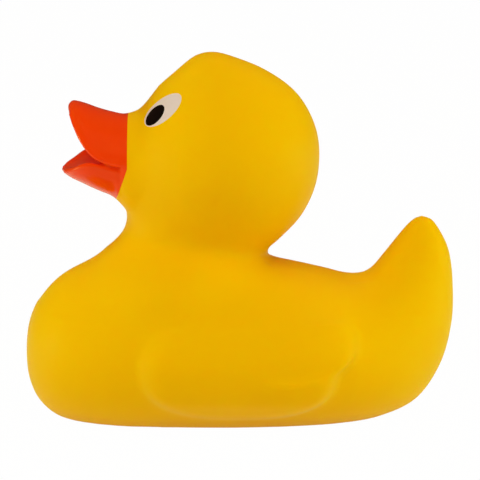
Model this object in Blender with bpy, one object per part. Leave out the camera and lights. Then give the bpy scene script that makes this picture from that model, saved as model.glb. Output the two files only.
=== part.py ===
"""A bath duck, moulded hollow in one piece of soft vinyl, with its beak and eyes painted on.

Metres, +Z up. The origin is the middle of the length at the flat base, and the duck looks along -X.
The body and the head are lofts of ellipses. Each ellipse is drawn in the side view by its two
ends, and is given a half width. The open beak is two dished halves in front of a collar that flares
into the head. A wing is three overlapping pads, which follow the body's side and round over to their
outlines. All of these are united into one skin, which is then hollowed and vented.
"""

import math

import bmesh
import bpy
from mathutils import Matrix, Vector
from mathutils.bvhtree import BVHTree

# Body, with the tail
BODY_LENGTH = 0.100
BODY_WIDTH = 0.060
BACK_HEIGHT = 0.039
BELLY = 0.04  # how much wider the body gets towards the base

# Head, which grows out of the body's back
HEAD_LENGTH = 0.045
HEAD_WIDTH = 0.043
HEAD_HEIGHT = 0.0555
HEAD_PLACE = -0.0041

# Beak, open
BEAK_LENGTH = 0.0155
BEAK_WIDTH = 0.0245
BEAK_HEIGHT = 0.024
LIP = 0.0017
BEAK_DISH = 0.30  # how deep the inside of a beak's half is, of its outside

# Wings
WING_LENGTH = 0.0505
WING_HEIGHT = 0.0254
WING_RELIEF = 0.0024
FEATHER_STEP = 0.0007
WING_PLACE = 0.0022
WING_RISE = 0.0159

# Eyes, painted, as they show in the side view
EYE_LENGTH = 0.0108
EYE_WIDTH = 0.0039
EYE_AHEAD = 0.0135
EYE_ABOVE = 0.0434
EYE_TILT = math.radians(42)
PUPIL_LENGTH = 0.0058
PUPIL_WIDTH = 0.0025
PUPIL_AHEAD = 0.0020
PUPIL_BELOW = 0.0012
PUPIL_TILT = math.radians(48)

# Skin
WALL = 0.0020
VENT_DIAMETER = 0.0035
VENT_PLACE = -0.004

# The body, drawn 100 long, 39 high at the back and 30 in half width. The columns are top x,
# top z, bottom x, bottom z and half width, from the breast to the tip of the tail.
BODY_DRAWN = (100, 39, 30)
BODY_SECTIONS = (
    (-50.0, 15.5, -50.0, 15.5, 0.0),
    (-49.2, 22.0, -49.2, 8.4, 9.0),
    (-46.3, 28.0, -46.2, 2.6, 15.8),
    (-40.8, 33.3, -40.2, -1.2, 21.8),
    (-31.0, 37.2, -28.8, -3.4, 26.8),
    (-18.0, 38.9, -14.0, -3.7, 29.4),
    (-4.0, 38.2, -1.0, -3.6, 30.0),
    (9.0, 36.2, 11.0, -3.1, 29.2),
    (19.0, 34.1, 22.5, -2.2, 26.8),
    (26.1, 32.5, 32.5, -0.4, 23.0),
    (30.3, 33.8, 41.4, 3.6, 18.5),
    (33.6, 37.7, 47.1, 11.7, 13.8),
    (36.9, 42.0, 49.7, 21.5, 10.0),
    (39.8, 45.4, 49.9, 31.0, 7.0),
    (42.2, 46.8, 48.8, 39.0, 4.4),
    (44.6, 46.2, 45.8, 45.0, 0.8),
)

# The head, drawn 45 long, 56 high and 21.5 in half width. The columns are front x, front z,
# back x, back z and half width, from the foot inside the body up to the crest.
HEAD_DRAWN = (45, 56, 21.5)
HEAD_SECTIONS = (
    (-34.0, -5.0, 7.0, -5.5, 25.0),
    (-34.0, 0.0, 8.6, -0.8, 25.4),
    (-31.9, 4.6, 9.6, 2.8, 23.6),
    (-28.4, 8.2, 10.2, 5.6, 21.0),
    (-25.1, 11.1, 10.5, 7.6, 17.8),
    (-22.9, 14.4, 11.1, 9.2, 15.6),
    (-22.3, 18.0, 14.2, 12.0, 15.2),
    (-22.4, 22.5, 18.7, 17.7, 17.7),
    (-22.3, 28.3, 22.0, 25.3, 20.7),
    (-21.6, 34.6, 22.6, 34.0, 21.5),
    (-19.9, 40.7, 20.7, 41.0, 19.6),
    (-16.2, 46.3, 16.6, 47.0, 15.8),
    (-11.2, 51.0, 9.8, 51.8, 10.6),
    (-6.5, 54.9, 2.2, 54.9, 5.6),
    (-2.8, 56.0, -1.6, 56.0, 0.6),
)
HEAD_FOOT = 0.765  # of the height of the back
HEAD_FRONT = 0.487  # of the head's length, ahead of its middle

# The beak, drawn 16 long and 24 high, forward of the head's front and up from the corner of the
# mouth. The columns are midline x, midline z, lip x, lip z and half width, 1 at the widest, from
# inside the head to the tip. The collar's are top x, top z, bottom x, bottom z and half width.
BEAK_DRAWN = (16, 24, 1)
UPPER_SECTIONS = (
    (4.0, 12.5, 4.0, -0.3, 0.94),
    (-0.3, 11.0, -1.5, 0.2, 0.98),
    (-3.8, 11.5, -4.8, 0.9, 0.98),
    (-7.1, 12.4, -7.9, 2.5, 0.96),
    (-9.9, 13.4, -10.2, 5.1, 0.87),
    (-12.0, 14.0, -12.2, 8.4, 0.68),
    (-13.3, 14.1, -13.6, 11.0, 0.42),
    (-14.2, 13.2, -14.3, 12.6, 0.08),
)
LOWER_SECTIONS = (
    (4.0, -11.0, 4.0, -0.6, 0.80),
    (-1.3, -10.0, -1.2, -0.4, 0.90),
    (-3.1, -8.4, -3.0, 0.1, 0.91),
    (-5.7, -7.3, -5.4, 0.8, 0.92),
    (-8.5, -6.1, -8.0, 1.4, 0.93),
    (-11.0, -4.9, -10.3, 1.2, 0.88),
    (-13.4, -3.8, -12.7, -0.1, 0.70),
    (-15.1, -2.7, -14.9, -1.1, 0.42),
    (-16.0, -1.8, -16.0, -1.6, 0.06),
)
COLLAR_SECTIONS = (
    (7.5, 13.2, 7.5, -17.5, 1.30),
    (3.6, 12.4, 3.6, -15.0, 1.10),
    (0.8, 11.1, 0.8, -12.4, 1.00),
    (-1.2, 10.3, -1.2, -9.8, 0.95),
    (-2.6, 8.0, -2.6, -6.5, 0.75),
    (-3.2, 2.0, -3.2, -2.0, 0.20),
)
INSIDE_LEAST = 0.4  # the least half width of the inside of a beak's half, of its outside
MOUTH_HEIGHT = 0.54  # of the head's height, above its foot
PAINT_EDGE = 0.00015  # from the head's front back to the edge of the beak's paint
PAINT_LEAN = 0.34  # how far that edge leans forward below the mouth

# The three pads of a wing. Their outlines are rounded ellipses in the side view. The columns are the
# middle along and up the wing, the half length and the half height, as shares of the wing's length
# and height from its middle, the squareness, how far in from the outline the pad goes on rounding,
# as a share of its size, and how far it stands out beyond the first pad, in feather steps, at the
# middle of the wing and at its rear end.
WING_PADS = (
    (-0.045, 0.000, 0.455, 0.500, 2.4, 0.45, 0, 0),
    (0.153, 0.240, 0.347, 0.268, 3.0, 0.55, -0.3, -0.3),
    (0.105, -0.255, 0.277, 0.185, 2.4, 0.20, -0.5, 1.2),
)
WING_TOP_AHEAD = 0.15  # of the wing's relief, at its top edge, ahead and behind
WING_TOP_BEHIND = 0.50
PAD_ROUNDING = (0.06, 0.22, 0.5, 1)
PAD_MIDDLE = (0.5, 0.02)
PAD_SINK = 0.0006

# Fineness of the meshes
BODY_RINGS = 34
HEAD_RINGS = 30
BEAK_RINGS = 14
COLLAR_RINGS = 10
SKIN_SIDES = 32
CORE_RINGS = 20
CORE_SIDES = 20
BEAK_SIDES = 24
PAD_SIDES = 28
EYE_SIDES = 20
VENT_SIDES = 16
SMALLEST = 0.0003

YELLOW, ORANGE, WHITE, BLACK = range(4)
PAINTS = (
    ("yellow_vinyl", (0.87, 0.49, 0.005), 0.40),
    ("beak_paint", (0.85, 0.05, 0.003), 0.30),
    ("eye_white", (0.75, 0.62, 0.55), 0.40),
    ("pupil_black", (0.01, 0.01, 0.01), 0.40),
)


def material(name, colour, roughness):
    made = bpy.data.materials.new(name)
    made.use_nodes = True
    made.diffuse_color = (*colour, 1)
    shader = made.node_tree.nodes["Principled BSDF"]
    shader.inputs["Base Color"].default_value = (*colour, 1)
    shader.inputs["Roughness"].default_value = roughness
    return made


def add(bm, name, collection, materials):
    mesh = bpy.data.meshes.new(name)
    bmesh.ops.triangulate(bm, faces=bm.faces)
    bm.to_mesh(mesh)
    bm.free()
    mesh.shade_smooth()
    for slot in materials:
        mesh.materials.append(slot)
    obj = bpy.data.objects.new(name, mesh)
    collection.objects.link(obj)
    return obj


def boolean(obj, other, operation):
    change = obj.modifiers.new(other.name, "BOOLEAN")
    change.operation = operation
    change.solver = "EXACT"
    change.material_mode = "TRANSFER"
    change.object = other


def row_between(rows, place):
    """The row at a place along the rows, on the smooth curve that passes through all of them."""
    k = min(int(place), len(rows) - 2)
    t = place - k
    near = [rows[min(max(k + step, 0), len(rows) - 1)] for step in (-1, 0, 1, 2)]
    return [
        b + t * ((c - a) + t * ((2 * a - 5 * b + 4 * c - d) + t * (3 * b - a - 3 * c + d))) / 2
        for a, b, c, d in zip(*near)
    ]


def ellipse(top, low, half, up, side):
    return (top + low) / 2 + (top - low) / 2 * up + half * side


def crescent(middle, lip, half, up, side):
    """Round the outside of a beak's half, then back along its dished inside, within the lips."""
    reach = middle - lip
    if up < -0.01:
        reach *= BEAK_DISH
        half = half * max(INSIDE_LEAST, 1 - LIP / half.length)
    return lip + reach * abs(up) + half * side


def loft(section, rows, rings, sides, drawn, size):
    """A closed form of rings through the rows, scaled from the drawing to the size."""
    bm = bmesh.new()
    along, up, across = (real / flat for real, flat in zip(size, drawn))
    last = []
    for ring in range(rings):
        row = row_between(rows, (len(rows) - 1) * ring / (rings - 1))
        top = Vector((row[0] * along, 0, row[1] * up))
        low = Vector((row[2] * along, 0, row[3] * up))
        half = Vector((0, max(row[4] * across, SMALLEST), 0))
        end = ring in (0, rings - 1)
        made = bmesh.ops.create_circle(bm, cap_ends=end, segments=sides, radius=1)["verts"]
        for v in made:
            v.co = section(top, low, half, v.co.y, v.co.x)
        edges = list({edge for v in made for edge in v.link_edges})
        if last:
            bmesh.ops.bridge_loops(bm, edges=last + edges)
        last = edges
    bmesh.ops.recalc_face_normals(bm, faces=bm.faces)
    return bm


def shrink(bm, inset):
    bm.normal_update()
    steps = [(v, v.normal * inset) for v in bm.verts]
    for v, step in steps:
        v.co -= step


def body_form(inset=0.0):
    """The body's outside, or with an inset the hollow inside it."""
    sides = CORE_SIDES if inset else SKIN_SIDES
    rings = CORE_RINGS if inset else BODY_RINGS
    rows = BODY_SECTIONS[1:-2] if inset else BODY_SECTIONS
    size = (BODY_LENGTH, BACK_HEIGHT, BODY_WIDTH / 2)
    bm = loft(ellipse, rows, rings, sides, BODY_DRAWN, size)
    middle = BACK_HEIGHT / 2
    for v in bm.verts:
        v.co.y *= 1 + BELLY * min(1, (middle - v.co.z) / middle)
    shrink(bm, inset)
    for v in bm.verts:
        v.co.z = max(v.co.z, inset)
    return bm


def head_form(inset=0.0):
    """The head's outside with its flared neck, or with an inset the hollow inside it."""
    sides = CORE_SIDES if inset else SKIN_SIDES
    rings = CORE_RINGS if inset else HEAD_RINGS
    rows = HEAD_SECTIONS[:-1] if inset else HEAD_SECTIONS
    size = (HEAD_LENGTH, HEAD_HEIGHT, HEAD_WIDTH / 2)
    bm = loft(ellipse, rows, rings, sides, HEAD_DRAWN, size)
    shrink(bm, inset)
    place = (HEAD_PLACE, 0, BACK_HEIGHT * HEAD_FOOT)
    bmesh.ops.translate(bm, vec=place, verts=bm.verts)
    return bm


def beak_form(section, rows, rings, paint_lean=0.0):
    """A part of the beak, painted in front of the paint's edge."""
    size = (BEAK_LENGTH, BEAK_HEIGHT, BEAK_WIDTH / 2)
    bm = loft(section, rows, rings, BEAK_SIDES, BEAK_DRAWN, size)
    bmesh.ops.triangulate(bm, faces=bm.faces)
    edge = Vector((PAINT_EDGE, 0, 0))
    ahead = Vector((-1, 0, paint_lean)).normalized()
    everything = [*bm.verts, *bm.edges, *bm.faces]
    bmesh.ops.bisect_plane(bm, geom=everything, plane_co=edge, plane_no=ahead)
    for face in bm.faces:
        if (face.calc_center_median() - edge).dot(ahead) > 0:
            face.material_index = ORANGE
    front = HEAD_PLACE - HEAD_LENGTH * HEAD_FRONT
    mouth = BACK_HEIGHT * HEAD_FOOT + HEAD_HEIGHT * MOUTH_HEIGHT
    bmesh.ops.translate(bm, vec=(front, 0, mouth), verts=bm.verts)
    return bm


def wing_relief(x, z, steps):
    """How far a pad stands out of the body's side, at a place in the side view."""
    top = WING_RISE + WING_HEIGHT / 2
    behind = min(1, max(0, x - WING_PLACE) / (WING_LENGTH / 2))
    least = WING_TOP_AHEAD + (WING_TOP_BEHIND - WING_TOP_AHEAD) * behind
    fade = min(1, least + max(0, top - z) / (WING_HEIGHT / 2))
    beyond = steps[0] + (steps[1] - steps[0]) * behind
    return fade * WING_RELIEF + beyond * FEATHER_STEP


def pad_form(pad, side):
    """One pad of a wing: rings shrinking from its outline, laid on the body's side and lifted."""
    along, up, half_length, half_height, square, rounding, *steps = pad
    skin = body_form()
    tree = BVHTree.FromBMesh(skin)
    skin.free()
    rings = [(1, None)]
    rings += [(1 - rounding * t, 1 - (1 - t) ** 2) for t in PAD_ROUNDING]
    rings += [((1 - rounding) * share, 1) for share in PAD_MIDDLE]
    bm = bmesh.new()
    last = []
    for size, lift in rings:
        end = lift is None or size == rings[-1][0]
        made = bmesh.ops.create_circle(bm, cap_ends=end, segments=PAD_SIDES, radius=1)["verts"]
        for v in made:
            x, z = (size * math.copysign(abs(c) ** (2 / square), c) for c in v.co.xy)
            x = WING_PLACE + WING_LENGTH * (along + half_length * x)
            z = WING_RISE + WING_HEIGHT * (up + half_height * z)
            hit = tree.ray_cast(Vector((x, BODY_WIDTH, z)), Vector((0, -1, 0)))[0]
            out = -PAD_SINK if lift is None else lift * wing_relief(x, z, steps)
            v.co = (x, side * (hit.y + out), z)
        edges = list({edge for v in made for edge in v.link_edges})
        if last:
            bmesh.ops.bridge_loops(bm, edges=last + edges)
        last = edges
    bmesh.ops.recalc_face_normals(bm, faces=bm.faces)
    return bm


def paint_ellipse(bm, middle, length, width, tilt, slot):
    """Cuts an ellipse into both sides of the head, square to the side view, and colours it."""
    turn = Matrix.Rotation(-tilt, 3, "Y")
    inside = [f for f in bm.faces if (f.calc_center_median() - middle).xz.length < length]
    for k in range(EYE_SIDES):
        angle = 2 * math.pi * k / EYE_SIDES
        rim = middle + turn @ Vector((math.cos(angle) * length / 2, 0, math.sin(angle) * width / 2))
        out = turn @ Vector((math.cos(angle) / length, 0, math.sin(angle) / width)).normalized()
        near = list({part for f in inside for part in (f, *f.verts, *f.edges)})
        cut = bmesh.ops.bisect_plane(bm, geom=near, plane_co=rim, plane_no=out)["geom"]
        faces = [part for part in cut if isinstance(part, bmesh.types.BMFace)]
        inside = [f for f in faces if (f.calc_center_median() - rim).dot(out) < 0]
    for face in inside:
        face.material_index = slot


def vent_form():
    bm = bmesh.new()
    bmesh.ops.create_cone(
        bm,
        cap_ends=True,
        segments=VENT_SIDES,
        radius1=VENT_DIAMETER / 2,
        radius2=VENT_DIAMETER / 2,
        depth=4 * WALL,
        matrix=Matrix.Translation((VENT_PLACE, 0, WALL / 2)),
    )
    return bm


def main():
    for obj in list(bpy.data.objects):
        bpy.data.objects.remove(obj)
    product = bpy.data.collections.new("bath_duck")
    forms = bpy.data.collections.new("cutters")
    for collection in (product, forms):
        bpy.context.scene.collection.children.link(collection)
    paints = [material(*paint) for paint in PAINTS]

    duck = add(body_form(), "duck", product, paints)

    head = head_form()
    bmesh.ops.triangulate(head, faces=head.faces)
    eye = Vector((HEAD_PLACE - EYE_AHEAD, 0, BACK_HEIGHT * HEAD_FOOT + EYE_ABOVE))
    pupil = eye - Vector((PUPIL_AHEAD, 0, PUPIL_BELOW))
    paint_ellipse(head, eye, EYE_LENGTH, EYE_WIDTH, EYE_TILT, WHITE)
    paint_ellipse(head, pupil, PUPIL_LENGTH, PUPIL_WIDTH, PUPIL_TILT, BLACK)
    joined = [add(head, "head", forms, paints)]

    for name, section, rows, rings, lean in (
        ("upper_beak", crescent, UPPER_SECTIONS, BEAK_RINGS, 0),
        ("lower_beak", crescent, LOWER_SECTIONS, BEAK_RINGS, PAINT_LEAN),
        ("beak_collar", ellipse, COLLAR_SECTIONS, COLLAR_RINGS, 0),
    ):
        joined.append(add(beak_form(section, rows, rings, lean), name, forms, paints))

    for k, pad in enumerate(WING_PADS, 1):
        for name, side in ((f"near_pad_{k}", -1), (f"far_pad_{k}", 1)):
            joined.append(add(pad_form(pad, side), name, forms, paints))

    for obj in joined:
        boolean(duck, obj, "UNION")
    for name, form in (
        ("body_core", body_form(WALL)),
        ("head_core", head_form(WALL)),
        ("vent", vent_form()),
    ):
        boolean(duck, add(form, name, forms, paints), "DIFFERENCE")

    for obj in forms.objects:
        obj.hide_render = True
        obj.display_type = "WIRE"


main()
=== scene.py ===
import math

import bmesh
import bpy
from mathutils import Matrix, Vector


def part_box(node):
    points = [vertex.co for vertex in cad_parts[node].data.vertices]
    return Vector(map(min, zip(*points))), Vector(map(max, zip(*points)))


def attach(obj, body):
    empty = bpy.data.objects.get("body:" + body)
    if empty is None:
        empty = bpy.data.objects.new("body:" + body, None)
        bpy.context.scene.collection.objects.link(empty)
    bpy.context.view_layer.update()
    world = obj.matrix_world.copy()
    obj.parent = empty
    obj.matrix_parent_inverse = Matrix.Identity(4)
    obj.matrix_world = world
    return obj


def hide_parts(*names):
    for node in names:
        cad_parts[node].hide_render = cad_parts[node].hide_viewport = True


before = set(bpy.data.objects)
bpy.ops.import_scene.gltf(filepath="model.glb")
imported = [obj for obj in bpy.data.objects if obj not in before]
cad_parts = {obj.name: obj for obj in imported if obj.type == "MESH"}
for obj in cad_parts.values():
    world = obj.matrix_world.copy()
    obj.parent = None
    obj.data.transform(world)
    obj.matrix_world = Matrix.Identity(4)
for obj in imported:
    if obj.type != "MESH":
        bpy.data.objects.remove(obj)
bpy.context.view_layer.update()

# A bath duck of soft vinyl, looking along -X on a pale floor. One fine skin is modelled round the
# CAD solid, hollow like it, and its beak and eyes are painted on.

cadLow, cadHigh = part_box("duck")
mm = (cadHigh.x - cadLow.x) / 100  # the duck is drawn 100 long
thinnest = 0.1 * mm  # half width at which a loft closes
print("frame loaded, length", round(100 * mm, 4))


# Lofts

def rowBetween(rows, place):
    # the row at a place along the rows, on the smooth curve through all of them
    k = min(int(place), len(rows) - 2)
    t = place - k
    near = [rows[min(max(k + step, 0), len(rows) - 1)] for step in (-1, 0, 1, 2)]
    return [
        b + t * ((c - a) + t * ((2 * a - 5 * b + 4 * c - d) + t * (3 * b - a - 3 * c + d))) / 2
        for a, b, c, d in zip(*near)
    ]


def ellipsePoint(top, low, half, up, side, lip):
    return (top + low) / 2 + (top - low) / 2 * up + half * side


def crescentPoint(middle, edge, half, up, side, lip):
    # round the outside of half a beak, then back along its shallow inside
    reach = middle - edge
    if up < -0.01:
        reach *= beakInside["dish"]
        half = half * max(beakInside["leastWidth"], 1 - lip / half.length)
    return edge + reach * abs(up) + half * side


def loftForm(shape, pointOf=ellipsePoint, origin=(0, 0, 0), skip=(0, 0)):
    rows = shape["sections"][skip[0]:len(shape["sections"]) - skip[1]]
    unitX, unitZ, unitY = shape["unit"]
    bm = bmesh.new()
    last = []
    for ring in range(shape["rings"]):
        row = rowBetween(rows, (len(rows) - 1) * ring / (shape["rings"] - 1))
        top = Vector((row[0] * unitX, 0, row[1] * unitZ))
        low = Vector((row[2] * unitX, 0, row[3] * unitZ))
        half = Vector((0, max(row[4] * unitY, thinnest), 0))
        isEnd = ring in (0, shape["rings"] - 1)
        circle = bmesh.ops.create_circle(bm, cap_ends=isEnd, segments=shape["sides"], radius=1)["verts"]
        for v in circle:
            v.co = pointOf(top, low, half, v.co.y, v.co.x, shape.get("lip", 0))
        edges = list(dict.fromkeys(edge for v in circle for edge in v.link_edges))
        if last:
            bmesh.ops.bridge_loops(bm, edges=last + edges)
        last = edges
    bmesh.ops.translate(bm, vec=origin, verts=bm.verts)
    bmesh.ops.recalc_face_normals(bm, faces=bm.faces)
    return bm


def shrinkForm(bm, inset):
    bm.normal_update()
    steps = [(v, v.normal * inset) for v in bm.verts]
    for v, step in steps:
        v.co -= step


def meshOf(bm, name):
    mesh = bpy.data.meshes.new(name)
    bm.to_mesh(mesh)
    bm.free()
    return mesh


def newObject(mesh, name):
    obj = bpy.data.objects.new(name, mesh)
    bpy.context.scene.collection.objects.link(obj)
    return obj


def evaluatedMesh(obj):
    graph = bpy.context.evaluated_depsgraph_get()
    return bpy.data.meshes.new_from_object(obj.evaluated_get(graph), depsgraph=graph)


# Body and tail: top x, top z, bottom x, bottom z, half width, from the breast to the tail

bodyShape = {
    "unit": (mm, mm, 0.984 * mm),
    "rings": 210,
    "sides": 180,
    "belly": 0.04,
    "backHeight": 39 * mm,
    "halfWidth": 30 * mm,
    "sections": (
        (-50.0, 15.5, -50.0, 15.5, 0.0),
        (-49.2, 22.0, -49.2, 8.4, 9.0),
        (-46.3, 28.0, -46.2, 2.6, 15.8),
        (-40.8, 33.3, -40.2, -1.2, 21.8),
        (-31.0, 37.2, -28.8, -3.4, 26.8),
        (-18.0, 38.9, -14.0, -3.7, 29.4),
        (-4.0, 38.2, -1.0, -3.6, 30.0),
        (9.0, 36.2, 11.0, -3.1, 29.2),
        (19.0, 34.1, 22.5, -2.2, 26.8),
        (26.1, 32.5, 32.5, -0.4, 23.0),
        (30.3, 33.8, 41.4, 3.6, 18.5),
        (33.6, 37.7, 47.1, 11.7, 13.8),
        (36.9, 42.0, 49.7, 21.5, 10.0),
        (39.8, 45.4, 49.9, 31.0, 7.0),
        (42.2, 46.8, 48.8, 39.0, 4.4),
        (44.6, 46.2, 45.8, 45.0, 0.8),
    ),
}

# The wing stands out of the body's side. A lobe: middle, half length and height, squareness

wingShape = {
    "middle": Vector((2.2, 15.9)) * mm,
    "length": 50.5 * mm,
    "height": 25.4 * mm,
    "relief": 2.9 * mm,
    "rearLift": (0.45, 0.2),  # how much more it stands out at the rear, and from where on
    "topRelief": (0.12, 0.75),  # of the relief at the top edge, ahead and behind
    "lowRelief": 0.35,  # of the relief at the low edge
    "lowFade": 8 * mm,
    "edge": 5.2 * mm,
    "lowEdge": 1.6 * mm,
    "rearEdge": (0.4, 0.3),  # how much tighter the edge rounds at the rear, and from where on
    "deepest": 20 * mm,  # most that counts as inward of an outline
    "lobes": ((-0.045, 0.00, 0.455, 0.500, 2.4), (0.150, 0.225, 0.350, 0.285, 2.7)),
    "blend": 1.0 * mm,  # how softly one lobe's outline runs into the other's
}
featherShape = {  # the step along a low curve, below which the wing is thicker
    "step": 1.3 * mm,
    "edge": 0.4 * mm,
    "start": 2 * mm,
    "length": 10 * mm,  # over which the step grows
    "lowest": Vector((10.0, 14.1)) * mm,
    "curve": 0.02 / mm,
}


def smoothStep(value):
    t = min(1, max(0, value))
    return t * t * (3 - 2 * t)


def towardsRear(x, start=0):
    # 0 ahead of the start, 1 at the rear; the start is a share of half the wing's length
    return smoothStep(x / wingShape["length"] * 2 - start)


def lobeInward(x, z, lobe):
    # how far in from the lobe's outline, and how wide its rounded edge is there
    away = Vector((x, z)) - wingShape["middle"]
    away.x -= lobe[0] * wingShape["length"]
    away.y -= lobe[1] * wingShape["height"]
    a = lobe[2] * wingShape["length"]
    b = lobe[3] * wingShape["height"]
    reach = ((abs(away.x) / a) ** lobe[4] + (abs(away.y) / b) ** lobe[4]) ** (1 / lobe[4])
    inward = min(away.length / max(reach, 0.001) - away.length, wingShape["deepest"])
    low = smoothStep(-away.y / b)
    edge = wingShape["edge"] + low * (wingShape["lowEdge"] - wingShape["edge"])
    tighter, start = wingShape["rearEdge"]
    edge *= 1 - tighter * towardsRear(x, start)
    return inward, edge


def wingRelief(x, z):
    blend = wingShape["blend"]
    found = [lobeInward(x, z, lobe) for lobe in wingShape["lobes"]]
    inward = blend * math.log(sum(math.exp(away / blend) for away, edge in found))
    if inward <= 0:
        return 0
    shares = [math.exp((away - inward) / blend) for away, edge in found]
    edge = sum(share * lobe[1] for share, lobe in zip(shares, found))
    cover = 1 - (1 - min(1, inward / edge)) ** 2
    top = wingShape["middle"].y + wingShape["height"] / 2
    ahead, behind = wingShape["topRelief"]
    least = ahead + (behind - ahead) * towardsRear(x)
    fade = min(1, least + max(0, top - z) / (wingShape["height"] / 2))
    lift, start = wingShape["rearLift"]
    fade *= 1 + lift * towardsRear(x, start)
    height = max(0, z - top + wingShape["height"])
    fade *= min(1, wingShape["lowRelief"] + height / wingShape["lowFade"])
    away = Vector((x, z)) - featherShape["lowest"]
    below = smoothStep((featherShape["curve"] * away.x ** 2 - away.y) / featherShape["edge"] + 0.5)
    grown = smoothStep((x - featherShape["start"]) / featherShape["length"])
    return cover * (fade * wingShape["relief"] + below * grown * featherShape["step"])


def bodyForm(inset=0):
    bm = loftForm(bodyShape, skip=(1, 2) if inset else (0, 0))
    middle = bodyShape["backHeight"] / 2
    for v in bm.verts:
        v.co.y *= 1 + bodyShape["belly"] * min(1, (middle - v.co.z) / middle)
        if not inset:
            v.co.y *= 1 + wingRelief(v.co.x, v.co.z) / bodyShape["halfWidth"]
    shrinkForm(bm, inset)
    for v in bm.verts:
        v.co.z = max(v.co.z, inset)
    return bm


# Head: front x, front z, back x, back z, half width, from the foot in the body to the crest

headShape = {
    "unit": (mm, 0.991 * mm, mm),
    "origin": Vector((-4.1, 0, 29.835)) * mm,
    "rings": 150,
    "sides": 150,
    "sections": (
        (-34.0, -5.0, 7.0, -5.5, 25.0),
        (-34.0, 0.0, 8.6, -0.8, 25.4),
        (-31.9, 4.6, 9.6, 2.8, 23.6),
        (-28.4, 8.2, 12.4, 5.0, 20.6),
        (-25.1, 11.1, 11.3, 7.0, 16.6),
        (-22.6, 14.4, 10.6, 9.2, 13.8),
        (-21.9, 18.0, 13.6, 12.0, 14.6),
        (-22.2, 22.5, 18.7, 17.7, 17.6),
        (-22.3, 28.3, 22.0, 25.3, 20.7),
        (-21.6, 34.6, 22.6, 34.0, 21.5),
        (-19.9, 40.7, 20.7, 41.0, 19.6),
        (-16.2, 46.3, 16.6, 47.0, 15.8),
        (-11.2, 51.0, 9.8, 51.8, 10.6),
        (-6.5, 54.9, 2.2, 54.9, 5.6),
        (-2.8, 56.0, -1.6, 56.0, 0.6),
    ),
}

# Beak, forward and up from the corner of the mouth: midline x, midline z, lip x, lip z, half width

beakUnit = (0.969 * mm, mm, 12.25 * mm)
beakOrigin = Vector((-26.0, 0, 59.8)) * mm
beakInside = {"dish": 0.30, "leastWidth": 0.4}  # shares of the outside's depth and width
beakBead = {
    "radius": 0.65 * mm,
    "back": 0.75 * mm,
    "inside": 0.40 * mm,
    "balls": 90,
    "rowsLeft": 3.0,  # it ends this many rows before the tip
    "leastShare": 0.2,  # and thins out towards it
}
upperBeak = {
    "unit": beakUnit,
    "rings": 70,
    "sides": 110,
    "lip": 1.7 * mm,
    "sections": (
        (4.0, 12.5, 4.0, -0.3, 0.94),
        (-0.3, 11.0, -1.5, 0.2, 0.98),
        (-3.8, 11.5, -4.8, 0.9, 0.98),
        (-7.1, 12.4, -7.9, 2.5, 0.96),
        (-9.9, 13.4, -10.2, 5.1, 0.87),
        (-12.0, 14.0, -12.2, 8.4, 0.68),
        (-13.3, 14.1, -13.6, 11.0, 0.42),
        (-14.2, 13.2, -14.3, 12.6, 0.08),
    ),
}
lowerBeak = {
    "unit": beakUnit,
    "rings": 70,
    "sides": 110,
    "lip": 1.7 * mm,
    "sections": (
        (4.0, -12.6, 4.0, -0.6, 0.80),
        (-1.3, -10.4, -1.2, -0.4, 0.90),
        (-3.1, -8.4, -3.0, 0.1, 0.91),
        (-5.7, -7.3, -5.4, 0.8, 0.92),
        (-8.5, -6.1, -8.0, 1.4, 0.93),
        (-11.0, -4.9, -10.3, 1.2, 0.88),
        (-13.4, -3.8, -12.7, -0.1, 0.70),
        (-15.1, -2.7, -14.9, -1.1, 0.42),
        (-16.0, -1.8, -16.0, -1.6, 0.06),
    ),
}
collarShape = {  # between the head and the two halves, closing the back of the mouth
    "unit": beakUnit,
    "rings": 44,
    "sides": 110,
    "sections": (
        (9.0, 12.0, 9.0, -10.5, 1.26),
        (7.5, 12.3, 7.5, -11.2, 1.24),
        (6.2, 12.5, 6.2, -11.8, 1.20),
        (4.2, 12.4, 4.2, -12.6, 1.10),
        (2.2, 11.8, 2.2, -12.8, 1.02),
        (0.2, 11.0, 0.2, -12.2, 0.98),
        (-1.2, 10.5, -1.2, -10.0, 0.94),
        (-2.4, 8.5, -2.4, -7.0, 0.76),
        (-3.0, 2.0, -3.0, -2.0, 0.20),
    ),
}


def beadForm(half):
    # the rolled rim along a lip: small balls close together, which melt into the lip
    bm = bmesh.new()
    reach = len(half["sections"]) - beakBead["rowsLeft"]
    unitX, unitZ, unitY = half["unit"]
    for k in range(beakBead["balls"]):
        row = rowBetween(half["sections"], 1 + reach * k / (beakBead["balls"] - 1))
        edge = Vector((row[2] * unitX, 0, row[3] * unitZ))
        back = (Vector((row[0] * unitX, 0, row[1] * unitZ)) - edge).normalized()
        for side in (-1, 1):
            out = Vector((0, side * (row[4] * unitY - beakBead["inside"]), 0))
            place = beakOrigin + edge + back * beakBead["back"] + out
            radius = beakBead["radius"] * min(1, beakBead["leastShare"] + row[4])
            bmesh.ops.create_icosphere(
                bm, subdivisions=2, radius=radius, matrix=Matrix.Translation(place)
            )
    return bm


# The skin: all the forms melted into one surface

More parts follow.
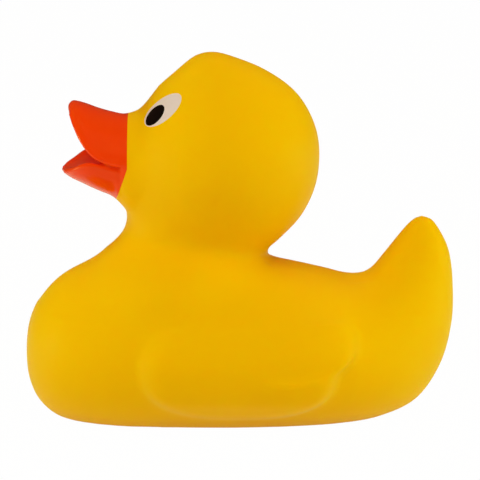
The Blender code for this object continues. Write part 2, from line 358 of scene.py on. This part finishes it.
skin = {
    "voxel": 0.72 * mm,
    "beakVoxel": 0.31 * mm,
    "hollowVoxel": 2.4 * mm,
    "merge": 0.05 * mm,
    "sharpAngle": math.radians(50),
    "wall": 2.0 * mm,
    "vent": 3.5 * mm,
    "ventPlace": -4 * mm,
    "ventDepth": 8 * mm,
    "ventSides": 48,
}
smoothings = {  # how many times each part is smoothed
    "trunk": 4,
    "beak": 5,
    "hollow": 6,
    "neck": 8,
    "shoulder": 60,
    "face": 55,
    "beakRoot": 26,
    "chin": 80,
}
zones = {  # x from and to, z from and to, half width
    "neck": (-60 * mm, 60 * mm, 26 * mm, 48 * mm, 40 * mm),
    "shoulder": (-60 * mm, 60 * mm, 26 * mm, 38.5 * mm, 40 * mm),
    "face": (-25.6 * mm, -14 * mm, 43 * mm, 77 * mm, 19 * mm),
    "beakRoot": (-26.8 * mm, -20 * mm, 42 * mm, 77 * mm, 40 * mm),
    "chin": (-31.5 * mm, -16 * mm, 43 * mm, 53 * mm, 40 * mm),
}
nape = {"half": 6 * mm, "front": -12 * mm}


def joinForms(forms):
    bm = bmesh.new()
    for form in forms:
        mesh = meshOf(form, "form")
        bm.from_mesh(mesh)
        bpy.data.meshes.remove(mesh)
    return bm


def inZone(co, name):
    lowX, highX, lowZ, highZ, half = zones[name]
    return lowX < co.x < highX and lowZ < co.z < highZ and abs(co.y) < half


def isSmoothed(co, name):
    if name in ("neck", "shoulder"):
        # where the neck flows into the body, apart from the tight fold at the nape
        return inZone(co, name) and (abs(co.y) > nape["half"] or co.x < nape["front"])
    if name == "beakRoot":
        return inZone(co, name) or inZone(co, "chin")
    return name not in zones or inZone(co, name)


def smoothPart(bm, name):
    verts = [v for v in bm.verts if isSmoothed(v.co, name)]
    for _ in range(smoothings[name]):
        bmesh.ops.smooth_vert(
            bm, verts=verts, factor=0.5, use_axis_x=True, use_axis_y=True, use_axis_z=True
        )


def meltForms(forms, voxel, name):
    rough = newObject(meshOf(joinForms(forms), "rough"), "rough")
    melt = rough.modifiers.new("melt", "REMESH")
    melt.mode = "VOXEL"
    melt.voxel_size = voxel
    bm = bmesh.new()
    bm.from_mesh(evaluatedMesh(rough))
    bpy.data.objects.remove(rough)
    smoothPart(bm, name)
    return bm


def skinForm():
    head = loftForm(headShape, origin=headShape["origin"])
    trunk = meltForms([bodyForm(), head], skin["voxel"], "trunk")
    smoothPart(trunk, "neck")
    smoothPart(trunk, "shoulder")
    halves = [loftForm(half, crescentPoint, beakOrigin) for half in (upperBeak, lowerBeak)]
    halves += [beadForm(half) for half in (upperBeak, lowerBeak)]
    halves.append(loftForm(collarShape, origin=beakOrigin))
    beak = meltForms(halves, skin["beakVoxel"], "beak")
    whole = newObject(meshOf(trunk, "trunk"), "trunk")
    other = newObject(meshOf(beak, "beak"), "beak")
    join = whole.modifiers.new("join", "BOOLEAN")
    join.operation = "UNION"
    join.solver = "EXACT"
    join.object = other
    bm = bmesh.new()
    bm.from_mesh(evaluatedMesh(whole))
    for helper in (whole, other):
        bpy.data.objects.remove(helper)
    bmesh.ops.remove_doubles(bm, verts=bm.verts, dist=skin["merge"])
    for name in ("face", "beakRoot", "chin"):
        smoothPart(bm, name)
    for v in bm.verts:
        v.co.z = max(v.co.z, 0)
    return bm


# Paint: the fields of colour are cut into the skin, so that their edges are sharp

paint = {
    "edge": Vector((-25.85, 0, 59.8)) * mm,  # the edge of the beak's paint at the mouth's height
    "lean": 0.34,
    "lowest": 49 * mm,
    "rearmost": -20 * mm,
    "eye": Vector((-17.6, 0, 73.4)) * mm,
    "eyeSize": (10.9 * mm, 3.9 * mm),
    "eyeTilt": math.radians(41),
    "pupil": Vector((-19.4, 0, 72.1)) * mm,
    "pupilSize": (6.0 * mm, 2.4 * mm),
    "pupilTilt": math.radians(48),
    "sides": 64,
}


def partsOf(faces):
    # the faces with their corners and edges, in the same order each run
    return list(dict.fromkeys(part for f in faces for part in (f, *f.verts, *f.edges)))


def paintEllipse(bm, middle, size, tilt, slot):
    length, width = size
    turn = Matrix.Rotation(-tilt, 3, "Y")
    inside = [f for f in bm.faces if (f.calc_center_median() - middle).xz.length < length]
    for k in range(paint["sides"]):
        angle = 2 * math.pi * k / paint["sides"]
        rim = middle + turn @ Vector((math.cos(angle) * length / 2, 0, math.sin(angle) * width / 2))
        out = turn @ Vector((math.cos(angle) / length, 0, math.sin(angle) / width)).normalized()
        cut = bmesh.ops.bisect_plane(bm, geom=partsOf(inside), plane_co=rim, plane_no=out)["geom"]
        faces = [part for part in cut if isinstance(part, bmesh.types.BMFace)]
        inside = [f for f in faces if (f.calc_center_median() - rim).dot(out) < 0]
    for face in inside:
        face.material_index = slot


def paintBeak(bm, slot):
    for lean, above in ((0, True), (paint["lean"], False)):
        ahead = Vector((-1, 0, lean)).normalized()

        def isHere(co):
            isFront = co.z > paint["lowest"] and co.x < paint["rearmost"]
            return isFront and (co.z > paint["edge"].z) == above

        near = [f for f in bm.faces if isHere(f.calc_center_median())]
        cut = bmesh.ops.bisect_plane(
            bm, geom=partsOf(near), plane_co=paint["edge"], plane_no=ahead
        )
        for face in cut["geom"]:
            if isinstance(face, bmesh.types.BMFace):
                if (face.calc_center_median() - paint["edge"]).dot(ahead) > 0:
                    face.material_index = slot


def innerForm():
    # the hollow, a wall's thickness inside the skin
    head = loftForm(headShape, origin=headShape["origin"], skip=(0, 1))
    shrinkForm(head, skin["wall"])
    bm = meltForms([bodyForm(skin["wall"]), head], skin["hollowVoxel"], "hollow")
    for v in bm.verts:
        v.co.z = max(v.co.z, skin["wall"])
    bmesh.ops.reverse_faces(bm, faces=bm.faces)
    return bm


def ventForm():
    bm = bmesh.new()
    radius = skin["vent"] / 2
    bmesh.ops.create_cone(
        bm,
        cap_ends=True,
        segments=skin["ventSides"],
        radius1=radius,
        radius2=radius,
        depth=skin["ventDepth"],
        matrix=Matrix.Translation((skin["ventPlace"], 0, 0)),
    )
    return bm


def buildSkin(materials):
    outside = skinForm()
    print("skin melted,", len(outside.verts), "points")
    paintBeak(outside, 1)
    paintEllipse(outside, paint["eye"], paint["eyeSize"], paint["eyeTilt"], 2)
    paintEllipse(outside, paint["pupil"], paint["pupilSize"], paint["pupilTilt"], 3)
    print("paint edges cut")
    rough = newObject(meshOf(joinForms([outside, innerForm()]), "skin"), "skin")
    for material in materials:
        rough.data.materials.append(material)
    vent = newObject(meshOf(ventForm(), "vent"), "vent")
    cut = rough.modifiers.new("vent", "BOOLEAN")
    cut.operation = "DIFFERENCE"
    cut.solver = "EXACT"
    cut.object = vent
    mesh = evaluatedMesh(rough)
    for helper in (rough, vent):
        bpy.data.objects.remove(helper)
    mesh.shade_smooth()
    mesh.set_sharp_from_angle(angle=skin["sharpAngle"])
    return newObject(mesh, "duckSkin")


# Finishes. Patterns are in metres, on Object coordinates.

finish = {
    "glossRange": 0.06,  # how far the roughness strays either way
    "bumpDepth": 0.0002,
    "subsurfaceRadius": (1.0, 0.25, 0.03),
    "subsurfaceScale": 0.0015,
}
vinylLook = {
    "colour": (0.97, 0.535, 0.001, 1),
    "deeper": (0.95, 0.505, 0.001, 1),
    "roughness": 0.42,
    "cloud": 45,
    "grain": 2600,
    "bump": 0.05,
    "subsurface": 0.35,
    "specular": 0.05,
    "tint": (1.0, 0.7, 0.1, 1),
}
beakLook = {
    "colour": (0.96, 0.058, 0.001, 1),
    "deeper": (0.93, 0.048, 0.001, 1),
    "roughness": 0.20,
    "cloud": 120,
    "grain": 1800,
    "bump": 0.01,
    "subsurface": 0.3,
    "specular": 0.45,
    "tint": (1.0, 0.5, 0.3, 1),
}
whiteLook = {
    "colour": (0.82, 0.67, 0.88, 1),
    "deeper": (0.77, 0.62, 0.82, 1),
    "roughness": 0.38,
    "cloud": 300,
    "grain": 1800,
    "bump": 0.03,
    "subsurface": 0.05,
    "specular": 0.3,
    "tint": (1.0, 1.0, 1.0, 1),
}
blackLook = {
    "colour": (0.004, 0.002, 0.003, 1),
    "deeper": (0.006, 0.004, 0.004, 1),
    "roughness": 0.34,
    "cloud": 300,
    "grain": 1800,
    "bump": 0.03,
    "subsurface": 0.0,
    "specular": 0.05,
    "tint": (1.0, 1.0, 1.0, 1),
}


def newNode(tree, kind, **values):
    node = tree.nodes.new("ShaderNode" + kind)
    for name, value in values.items():
        if name in node.inputs:
            node.inputs[name].default_value = value
        else:
            setattr(node, name, value)
    return node


def finishMaterial(name, look):
    material = bpy.data.materials.new(name)
    material.use_nodes = True
    tree = material.node_tree
    shader = tree.nodes["Principled BSDF"]
    place = newNode(tree, "TexCoord")
    cloud = newNode(tree, "TexNoise", Scale=look["cloud"], Detail=3.0, Roughness=0.55)
    grain = newNode(tree, "TexNoise", Scale=look["grain"], Detail=2.0, Roughness=0.5)
    blend = newNode(tree, "Mix", data_type="RGBA")
    blend.inputs[6].default_value = look["colour"]
    blend.inputs[7].default_value = look["deeper"]
    gloss = newNode(tree, "MapRange")
    gloss.inputs["To Min"].default_value = look["roughness"] - finish["glossRange"]
    gloss.inputs["To Max"].default_value = look["roughness"] + finish["glossRange"]
    bump = newNode(tree, "Bump", Strength=look["bump"], Distance=finish["bumpDepth"])
    for noise in (cloud, grain):
        tree.links.new(place.outputs["Object"], noise.inputs["Vector"])
    tree.links.new(cloud.outputs["Fac"], blend.inputs["Factor"])
    tree.links.new(blend.outputs[2], shader.inputs["Base Color"])
    tree.links.new(grain.outputs["Fac"], gloss.inputs["Value"])
    tree.links.new(gloss.outputs["Result"], shader.inputs["Roughness"])
    tree.links.new(grain.outputs["Fac"], bump.inputs["Height"])
    tree.links.new(bump.outputs["Normal"], shader.inputs["Normal"])
    shader.inputs["Subsurface Weight"].default_value = look["subsurface"]
    shader.inputs["Subsurface Radius"].default_value = finish["subsurfaceRadius"]
    shader.inputs["Subsurface Scale"].default_value = finish["subsurfaceScale"]
    shader.inputs["Specular IOR Level"].default_value = look["specular"]
    shader.inputs["Specular Tint"].default_value = look["tint"]
    return material


duck = buildSkin([
    finishMaterial("yellowVinyl", vinylLook),
    finishMaterial("beakPaint", beakLook),
    finishMaterial("eyeWhite", whiteLook),
    finishMaterial("pupilBlack", blackLook),
])
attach(duck, "root")
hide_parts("duck")
print("duck finished,", len(duck.data.polygons), "faces")


# Floor, lights and camera

studio = {
    "floor": 4.0,
    "floorColour": (0.85, 0.85, 0.85, 1),
    "floorRoughness": 0.9,
    "floorWhite": 0.99,  # share of plain white in what the camera sees of the floor
    "floorGlow": 0.33,  # share of it in what falls on the duck
    "world": (0.19, 0.066, 0.04, 1),
    "lamps": {  # place, size, power, colour
        "front": ((0.0, -0.50, 0.65), 0.8, 4.6, (0.88, 1.0, 0.6)),
        "back": ((0.0, 0.40, 0.65), 0.8, 1.6, (1.0, 0.82, 0.3)),
        "left": ((-0.45, -0.10, 0.60), 0.8, 0.5, (0.60, 1.0, 0.6)),
        "right": ((0.70, 0.00, 0.15), 0.8, 1.0, (1.0, 0.70, 0.2)),
        "lowLeft": ((-0.26, -0.01, 0.045), 0.07, 0.16, (0.76, 1.0, 0.4)),
        "lowRight": ((0.26, 0.00, 0.04), 0.12, 0.24, (0.56, 1.0, 0.2)),
    },
    "mirrored": ("lowLeft", "lowRight"),  # the others leave no streak on the paint
    "focal": 289,
    "distance": 0.9,
    "elevation": math.radians(11),
    "target": Vector((0.0001, 0, 0.041)),
}


def buildFloor():
    bm = bmesh.new()
    bmesh.ops.create_grid(bm, x_segments=4, y_segments=4, size=studio["floor"] / 2)
    floor = newObject(meshOf(bm, "floor"), "floor")
    material = bpy.data.materials.new("paleFloor")
    material.use_nodes = True
    tree = material.node_tree
    shader = tree.nodes["Principled BSDF"]
    shader.inputs["Base Color"].default_value = studio["floorColour"]
    shader.inputs["Roughness"].default_value = studio["floorRoughness"]
    white = newNode(tree, "Emission", Strength=1.0)
    share = newNode(tree, "MapRange")
    share.inputs["To Min"].default_value = studio["floorGlow"]
    share.inputs["To Max"].default_value = studio["floorWhite"]
    mix = newNode(tree, "MixShader")
    seen = newNode(tree, "LightPath")
    tree.links.new(seen.outputs["Is Camera Ray"], share.inputs["Value"])
    tree.links.new(share.outputs[0], mix.inputs[0])
    tree.links.new(shader.outputs[0], mix.inputs[1])
    tree.links.new(white.outputs[0], mix.inputs[2])
    tree.links.new(mix.outputs[0], tree.nodes["Material Output"].inputs["Surface"])
    floor.data.materials.append(material)


def buildWorld():
    world = bpy.data.worlds.new("studio")
    world.use_nodes = True
    tree = world.node_tree
    seen = newNode(tree, "LightPath")
    colour = newNode(tree, "Mix", data_type="RGBA")
    colour.inputs[6].default_value = studio["world"]
    colour.inputs[7].default_value = (1, 1, 1, 1)
    tree.links.new(seen.outputs["Is Camera Ray"], colour.inputs["Factor"])
    tree.links.new(colour.outputs[2], tree.nodes["Background"].inputs["Color"])
    bpy.context.scene.world = world


def buildLamp(name, place, size, power, colour):
    data = bpy.data.lights.new(name, "AREA")
    data.shape = "SQUARE"
    data.size = size
    data.energy = power
    data.color = colour
    lamp = bpy.data.objects.new(name, data)
    lamp.location = place
    lamp.visible_glossy = name in studio["mirrored"]
    lamp.rotation_euler = (Vector(place) - studio["target"]).to_track_quat("Z", "Y").to_euler()
    bpy.context.scene.collection.objects.link(lamp)


def buildCamera():
    data = bpy.data.cameras.new("camera")
    data.lens = studio["focal"]
    camera = bpy.data.objects.new("camera", data)
    tilt = studio["elevation"]
    away = Vector((0, -math.cos(tilt), math.sin(tilt))) * studio["distance"]
    camera.location = studio["target"] + away
    camera.rotation_euler = (math.pi / 2 - tilt, 0, 0)
    bpy.context.scene.collection.objects.link(camera)
    bpy.context.scene.camera = camera


buildFloor()
buildWorld()
for name, lamp in studio["lamps"].items():
    buildLamp(name, *lamp)
buildCamera()
bpy.context.scene.view_settings.view_transform = "Standard"
print("studio lit")
